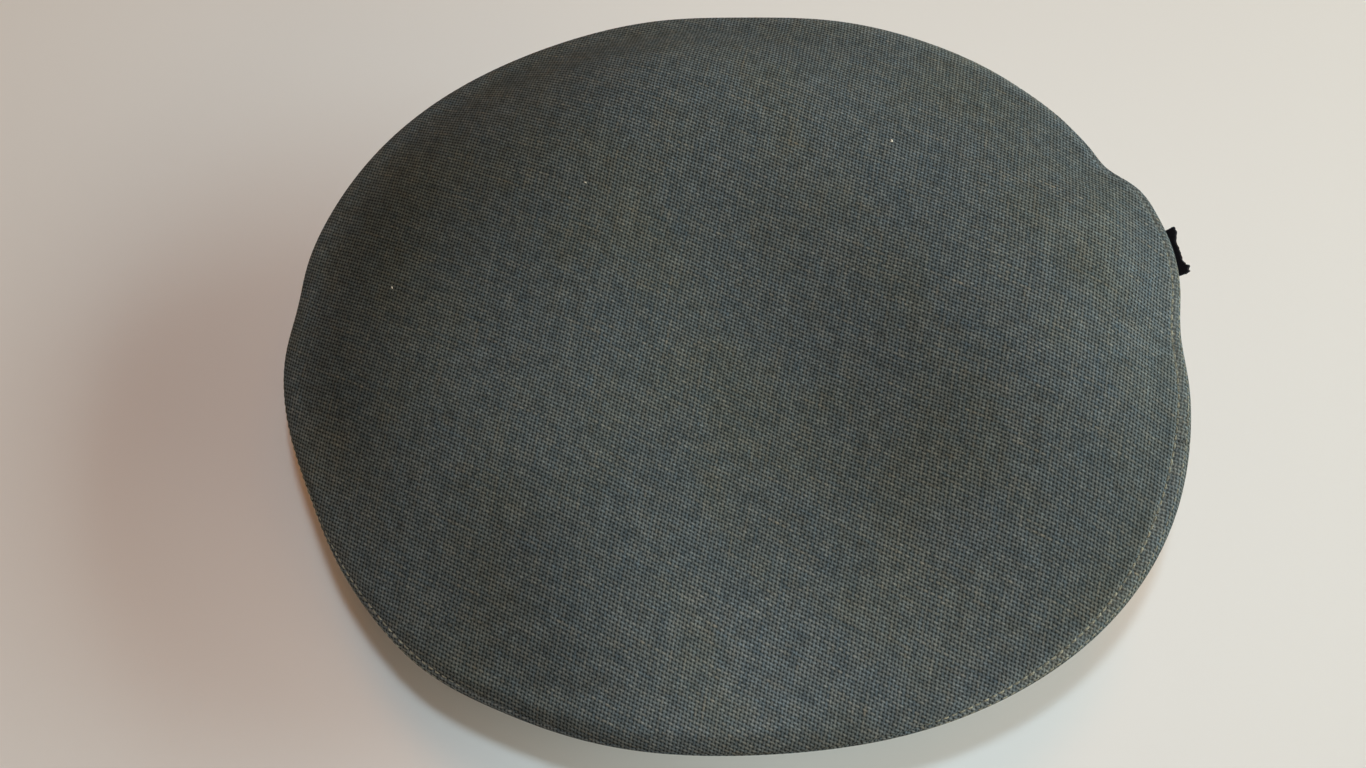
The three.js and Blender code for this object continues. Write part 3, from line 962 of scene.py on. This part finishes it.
def panel_stitches():
    """A row on each side of each seam, and one along the foot of each panel."""
    build = Build()
    fine = np.linspace(0, 1, 60)
    for panel in PANELS:
        wide = math.radians(panel.to_deg - panel.from_deg) * (BAND["half_wide"] + RIM["half_wide"]) / 2
        inside = SEAM_INSIDE / wide
        lines = [
            panel_line(panel, np.array([inside]), lerp(0.04, 0.97, fine)),
            panel_line(panel, np.array([1 - inside]), lerp(0.04, 0.97, fine)),
            panel_line(panel, lerp(inside, 1 - inside, np.linspace(0, 1, 240)), np.array([0.06])),
        ]
        for points, out in lines:
            points, out = evenly(points + 0.16 * out, out, SEAM_STITCH.pitch)
            stitch_row(build, points, out, SEAM_STITCH)
    return build.finish("panel_stitches", KHAKI)


# Band

BAND_COLUMNS = 432
BAND_ROWS = 30
BAND_SEAM_DEG = 180
BAND_STITCH_Z = (4.0, BAND["high"] - 4.0)


def band_inset(deg, z):
    """How far the band's outer face lies inside its plain oval."""
    angle = np.radians(deg)
    to_seam = np.radians(np.abs(turn_between(deg, BAND_SEAM_DEG))) * BAND["half_long"]
    rounded = turned_in(np.minimum(z, BAND["high"] - z), SEAM_ROUND)
    stitched = sum(0.2 * bell(z - at, 0.6) for at in BAND_STITCH_Z)
    uneven = 0.2 * np.sin(3 * angle + 1) + 0.12 * np.sin(8 * angle + z / 9) + 0.08 * np.sin(19 * angle - z / 6)
    return rounded + stitched + 0.9 * bell(to_seam, 0.6) + uneven * np.sin(math.pi * z / BAND["high"])


def band_ring():
    build = Build()
    turns = BAND_SEAM_DEG + 360 * drawn_to_ends(BAND_COLUMNS)[:-1]
    deg, z = np.meshgrid(turns, BAND["high"] * drawn_to_ends(BAND_ROWS), indexing="ij")
    outer = band_point(deg, z, band_inset(deg, z))
    inner = band_point(deg, z, BAND_WALL - turned_in(np.minimum(z, BAND["high"] - z), SEAM_ROUND))
    loops = np.concatenate([outer, inner[:, ::-1]], axis=1)
    arc = along(band_point(turns, BAND["high"] / 2, 0.0))
    cloth = np.stack([arc[:, None] / WEAVE_PITCH + 0 * z, z / WEAVE_PITCH, 0 * z], axis=-1)
    numbers = build.add(loops, np.concatenate([cloth, cloth[:, ::-1]], axis=1))
    build.skin(numbers, around=True, closed=True)
    made = build.finish("head_band", CANVAS)
    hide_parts("band")
    return made


def band_stitches():
    build = Build()
    turns = np.linspace(0, 360, 900)
    for at in BAND_STITCH_Z:
        z = np.full_like(turns, at)
        points, out = evenly(band_point(turns, z, band_inset(turns, z) - 0.16), outward(turns), SEAM_STITCH.pitch)
        stitch_row(build, points, out, SEAM_STITCH, around=True)
    return build.finish("band_stitches", KHAKI)


# Peak

PEAK_COLUMNS = 120
PEAK_SHARES = np.linspace(0, 1, 22)
PEAK_STITCH_INSIDE = 4.0
TIP = BAND["half_long"] + PEAK["reach"]
FLOOR_UNDER_TIP = -(REST_LIFT + TIP * math.sin(TILT)) / math.cos(TILT)
PLATE_DOWN = PEAK_WALL / math.cos(math.atan(-FLOOR_UNDER_TIP / PEAK["reach"]))
PEAK_DROP = -FLOOR_UNDER_TIP + PRESSED - PLATE_DOWN - GAP


def peak_reach(side):
    """How far the peak reaches past the band, from one end at -1 to the other at 1."""
    fullness = np.maximum(0, 1 - np.abs(side) ** PEAK["fullness"]) ** PEAK["taper"]
    return lerp(PEAK["end_reach"], PEAK["reach"], fullness)


def peak_point(side, share, down):
    deg = side * PEAK["half_deg"]
    reach = peak_reach(side)
    edge = outward(deg)
    ahead = outward(PEAK["spread"] * deg) * (reach * share)[..., None]
    slope = lerp(share, share * share, PEAK["hollow"])
    z = -GAP - down - PEAK_DROP * reach * slope / PEAK["reach"]
    x = BAND["half_long"] * edge[..., 0] + ahead[..., 0]
    y = BAND["half_wide"] * edge[..., 1] + ahead[..., 1]
    return resting(x, y, z)


def peak_plate():
    """A flat seat under the band, then a plate with a rounded edge, sloping down to the surface."""
    build = Build()
    side = (2 * drawn_to_ends(PEAK_COLUMNS) - 1)[:, None]
    reach = peak_reach(side)
    round_share = np.minimum(PLATE_DOWN / 2, 0.45 * reach) / reach
    bow = np.linspace(-math.pi / 2, math.pi / 2, 9)
    top = (1 - round_share) * PEAK_SHARES[::-1]
    groove = 0.18 * bell((1 - top) * reach - PEAK_STITCH_INSIDE, 0.7)
    share = np.concatenate([top[:, ::-1], 1 - round_share + round_share * np.cos(bow[1:-1]), top], axis=1)
    down = np.concatenate(
        [
            np.full_like(top, PLATE_DOWN),
            PLATE_DOWN / 2 * (1 - np.sin(bow[1:-1])) + 0 * reach,
            groove,
        ],
        axis=1,
    )
    plate = peak_point(side + 0 * share, share, down)
    edge = outward(side[:, 0] * PEAK["half_deg"])
    seats = [
        resting((BAND["half_long"] - BAND_WALL) * edge[:, 0], (BAND["half_wide"] - BAND_WALL) * edge[:, 1], -GAP - d)
        for d in (PLATE_DOWN, 0.0)
    ]
    loops = np.concatenate([seats[0][:, None], plate, seats[1][:, None]], axis=1)
    worn = bell((1 - share) * reach, 1.5)
    wear = np.concatenate([np.zeros_like(side), worn, np.zeros_like(side)], axis=1)
    numbers = build.add(loops, np.concatenate([loops[..., :2], wear[..., None]], axis=-1))
    build.skin(numbers, closed=True)
    half = numbers.shape[1] // 2
    for end in (numbers[0], numbers[-1]):
        build.skin(np.stack([end[:half], end[::-1][:half]]))
        if numbers.shape[1] % 2:
            build.faces.append([int(end[half - 1]), int(end[half]), int(end[half + 1])])
    made = build.finish("leather_peak", LEATHER)
    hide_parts("peak")
    return made


def peak_stitches():
    """A row along the edge of the peak, where it is long enough to carry one."""
    build = Build()
    side = np.linspace(-0.97, 0.97, 400)
    share = 1 - PEAK_STITCH_INSIDE / peak_reach(side)
    flat = np.zeros_like(side)
    points = peak_point(side, share, flat)
    ahead = np.gradient(points, axis=0)
    inward = peak_point(side, share - 0.02, flat) - points
    out = unit(np.cross(inward, ahead))
    out = out * np.sign(out[:, 2:3])
    points, out = evenly(points + 0.05 * out, out, PEAK_STITCH.pitch)
    stitch_row(build, points, out, PEAK_STITCH)
    return build.finish("peak_stitches", BLACK_THREAD)


# Badge

BADGE_COLUMNS = 48
BADGE_ROWS = 40


def badge_point(side, share, off):
    """The badge follows the front panel up to the rim at share 1, and stands on past it to share 2."""
    deg = np.degrees(side * BADGE["wide"] / 2 / rim_radius(np.array(0.0)))
    foot = BADGE["foot_share"] + BADGE["foot_lift"] * side**4
    horned = smooth((np.abs(side) - BADGE["horn_from"]) / (BADGE["horn_full"] - BADGE["horn_from"]))
    past = lerp(BADGE["dip"], BADGE["horn"], horned) * np.maximum(0, share - 1)
    on_panel = panel_point(deg, lerp(foot, 1.0, np.minimum(share, 1)), 0.0)
    up, out = panel_axes(deg)
    return on_panel + up * past[..., None] + out * np.asarray(GAP + off)[..., None]


def felt_badge():
    """A felt shield whose cut edges are a little ragged, most of all along its two horns."""
    build = Build()
    side, share = np.meshgrid(
        2 * drawn_to_ends(BADGE_COLUMNS) - 1, 2 * drawn_to_ends(BADGE_ROWS), indexing="ij"
    )
    ragged_side = 0.01 * np.interp(share, np.linspace(0, 2, 40), RNG.normal(0, 1, 40))
    ragged_top = np.interp(side, np.linspace(-1, 1, 34), RNG.normal(0, 1, 34)) * lerp(0.07, 0.02, smooth(side + 0.5))
    cut_side = side * (1 - 0.02 + ragged_side * np.abs(side) ** 8)
    cut_share = share + (ragged_top - 0.05) * smooth((share - 1.3) / 0.7)
    tall = np.linalg.norm(badge_point(np.zeros(1), np.full(1, 2.0), 0.0) - badge_point(np.zeros(1), np.zeros(1), 0.0))
    to_edge = np.minimum((1 - np.abs(side)) * BADGE["wide"] / 2, np.minimum(share, 2 - share) * tall / 2)
    outer = badge_point(cut_side, cut_share, FELT - turned_in(to_edge, FELT / 2))
    inner = badge_point(cut_side, cut_share, turned_in(to_edge, FELT / 2))
    cloth = np.stack([side * BADGE["wide"] / 2, share * tall / 2, 0 * side], axis=-1)
    build.wall(outer, inner, cloth)
    made = build.finish("felt_badge", FELT_BLACK)
    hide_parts("badge")
    return made


def badge_stitches():
    build = Build()
    fine = np.linspace(0, 1, 40)
    inside = 1 - 3 / BADGE["wide"]
    path_side = np.concatenate([np.full(40, -inside), lerp(-inside, inside, fine)[1:], np.full(39, inside)])
    path_share = np.concatenate([lerp(0.9, 0.2, fine), np.full(39, 0.2), lerp(0.2, 0.9, fine)[1:]])
    points = badge_point(path_side, path_share, FELT + 0.05)
    out = panel_axes(np.degrees(path_side * BADGE["wide"] / 2 / rim_radius(np.array(0.0))))[1]
    points, out = evenly(points, out, BADGE_STITCH.pitch)
    stitch_row(build, points, out, BADGE_STITCH)
    return build.finish("badge_stitches", BLACK_THREAD)


crown = crown_top()
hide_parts("crown_top")
rim_thread = rim_stitches()
lint_specks()
for quarter in PANELS:
    side_panel(quarter)
panel_stitches()
band_ring()
band_stitches()
peak_plate()
peak_stitches()
felt_badge()
badge_stitches()


# Floor, light and camera

PHOTO_WIDE = 1366
FOCAL_PX = 1340.5
VIEW_TURN = math.radians(11)
VIEW_DOWN = math.radians(70)
EYE = (-42.16, -149.35, 483.42)
RIGHT = Vector((math.cos(VIEW_TURN), -math.sin(VIEW_TURN), 0))
AWAY = Vector((math.sin(VIEW_TURN), math.cos(VIEW_TURN), 0))
UP = Vector((0, 0, 1))


def camera():
    data = bpy.data.cameras.new("camera")
    data.sensor_width = 36
    data.lens = FOCAL_PX * data.sensor_width / PHOTO_WIDE
    data.clip_start = 0.01
    look = AWAY * math.cos(VIEW_DOWN) - UP * math.sin(VIEW_DOWN)
    made = bpy.data.objects.new("camera", data)
    made.rotation_mode = "QUATERNION"
    made.rotation_quaternion = Matrix((RIGHT, RIGHT.cross(look), -look)).transposed().to_quaternion()
    made.location = placed(EYE)
    bpy.context.scene.collection.objects.link(made)
    bpy.context.scene.camera = made


def floor():
    n = Nodes("pale_table")
    n.set(Base_Color=(0.8, 0.78, 0.75, 1), Roughness=0.55, Specular_IOR_Level=0.2)
    half = 3.0
    mesh = bpy.data.meshes.new("table")
    corners = [(-half, -half, 0), (half, -half, 0), (half, half, 0), (-half, half, 0)]
    mesh.from_pydata(corners, [], [(0, 1, 2, 3)])
    mesh.materials.append(n.material)
    made = bpy.data.objects.new("table", mesh)
    bpy.context.scene.collection.objects.link(made)


def lamp(name, turn_deg, rise_deg, far, size, power, colour):
    """A square soft light; the way to it from the crown goes round from the picture's right, and up."""
    turn, rise = math.radians(turn_deg), math.radians(rise_deg)
    way = (RIGHT * math.cos(turn) + AWAY * math.sin(turn)) * math.cos(rise) + UP * math.sin(rise)
    data = bpy.data.lights.new(name, "AREA")
    data.shape = "SQUARE"
    data.size = size
    data.energy = power
    data.color = colour
    made = bpy.data.objects.new(name, data)
    made.location = Vector(placed((0, 0, RIM["height"]))) + way * far
    made.rotation_mode = "QUATERNION"
    made.rotation_quaternion = (-way).to_track_quat("-Z", "Y")
    bpy.context.scene.collection.objects.link(made)


def world(colour, walls, overhead):
    """A soft room: pale walls all round, and dim above."""
    made = bpy.data.worlds.new("soft_room")
    made.use_nodes = True
    tree = made.node_tree
    background = tree.nodes["Background"]
    background.inputs["Color"].default_value = (*colour, 1)
    way = tree.nodes.new("ShaderNodeTexCoord")
    parts = tree.nodes.new("ShaderNodeSeparateXYZ")
    tree.links.new(way.outputs["Generated"], parts.inputs[0])
    shade = tree.nodes.new("ShaderNodeMapRange")
    shade.interpolation_type = "SMOOTHSTEP"
    for socket, given in zip(list(shade.inputs)[1:5], (0.0, 0.4, walls, overhead)):
        socket.default_value = given
    tree.links.new(parts.outputs["Z"], shade.inputs[0])
    tree.links.new(shade.outputs[0], background.inputs["Strength"])
    bpy.context.scene.world = made


camera()
floor()
lamp("window", 7, 25, 2.2, 1.4, 48.0, (0.77, 0.97, 1.0))
lamp("side_window", -30, 22, 2.2, 1.0, 11.5, (1.0, 0.87, 0.68))
lamp("ceiling", 0, 80, 2.2, 1.0, 5.8, (1.0, 0.42, 0.12))
lamp("lamp_behind", 90, 75, 2.2, 0.4, 6.4, (1.0, 0.42, 0.12))
lamp("flash", -94, 79, 0.482, 0.02, 1.05, (0.62, 0.84, 1.0))
lamp("fill", 160, 17, 2.2, 0.8, 3.2, (1.0, 0.74, 0.52))
world((1.0, 0.82, 0.68), 0.85, 0.02)
bpy.context.scene.view_settings.view_transform = "Standard"
